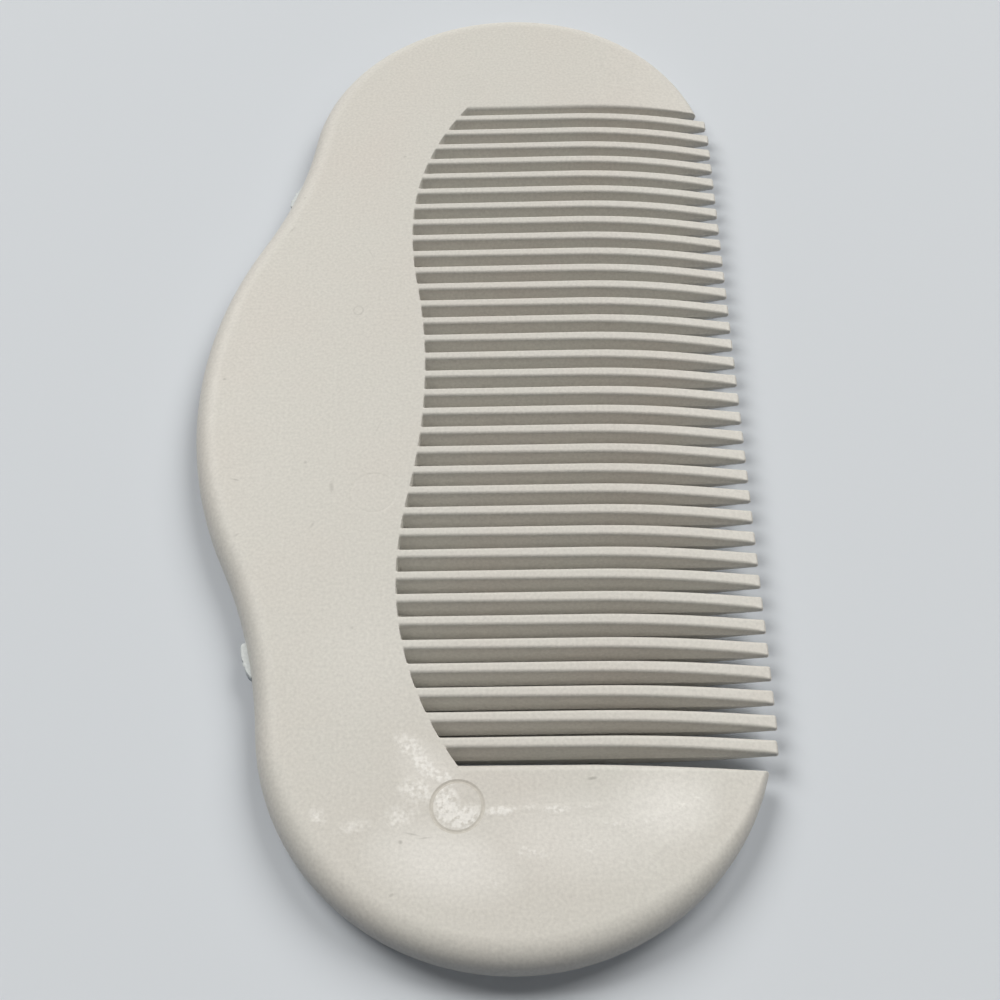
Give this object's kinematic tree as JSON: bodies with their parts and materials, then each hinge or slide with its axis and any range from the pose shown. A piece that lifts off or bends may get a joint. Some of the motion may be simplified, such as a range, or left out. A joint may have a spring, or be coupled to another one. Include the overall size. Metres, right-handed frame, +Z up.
{
  "type": "pocket comb",
  "caption": "Small flat comb: a wavy back with a central bulge and two round end lobes, flat end guards, and a row of fine teeth that thin towards their tips.",
  "frame": {"origin": "middle of the comb's bounding box, on the flat underside that it lies on", "axes": "+X from the bulge of the back to the tooth tips, +Y along the comb from one end lobe to the other, +Z up through the thickness"},
  "size_m": [0.0498, 0.1028, 0.0039],
  "materials": {
    "comb_plastic": "off-white moulded plastic, satin with a fine grain"
  },
  "bodies": {
    "root": {"back": "comb_plastic", "tooth_01": "comb_plastic", "tooth_02": "comb_plastic", "tooth_03": "comb_plastic", "tooth_04": "comb_plastic", "tooth_05": "comb_plastic", "tooth_06": "comb_plastic", "tooth_07": "comb_plastic", "tooth_08": "comb_plastic", "tooth_09": "comb_plastic", "tooth_10": "comb_plastic", "tooth_11": "comb_plastic", "tooth_12": "comb_plastic", "tooth_13": "comb_plastic", "tooth_14": "comb_plastic", "tooth_15": "comb_plastic", "tooth_16": "comb_plastic", "tooth_17": "comb_plastic", "tooth_18": "comb_plastic", "tooth_19": "comb_plastic", "tooth_20": "comb_plastic", "tooth_21": "comb_plastic", "tooth_22": "comb_plastic", "tooth_23": "comb_plastic", "tooth_24": "comb_plastic", "tooth_25": "comb_plastic", "tooth_26": "comb_plastic", "tooth_27": "comb_plastic", "tooth_28": "comb_plastic", "tooth_29": "comb_plastic", "tooth_30": "comb_plastic", "tooth_31": "comb_plastic", "tooth_32": "comb_plastic", "tooth_33": "comb_plastic", "tooth_34": "comb_plastic"}
  },
  "joints": []
}
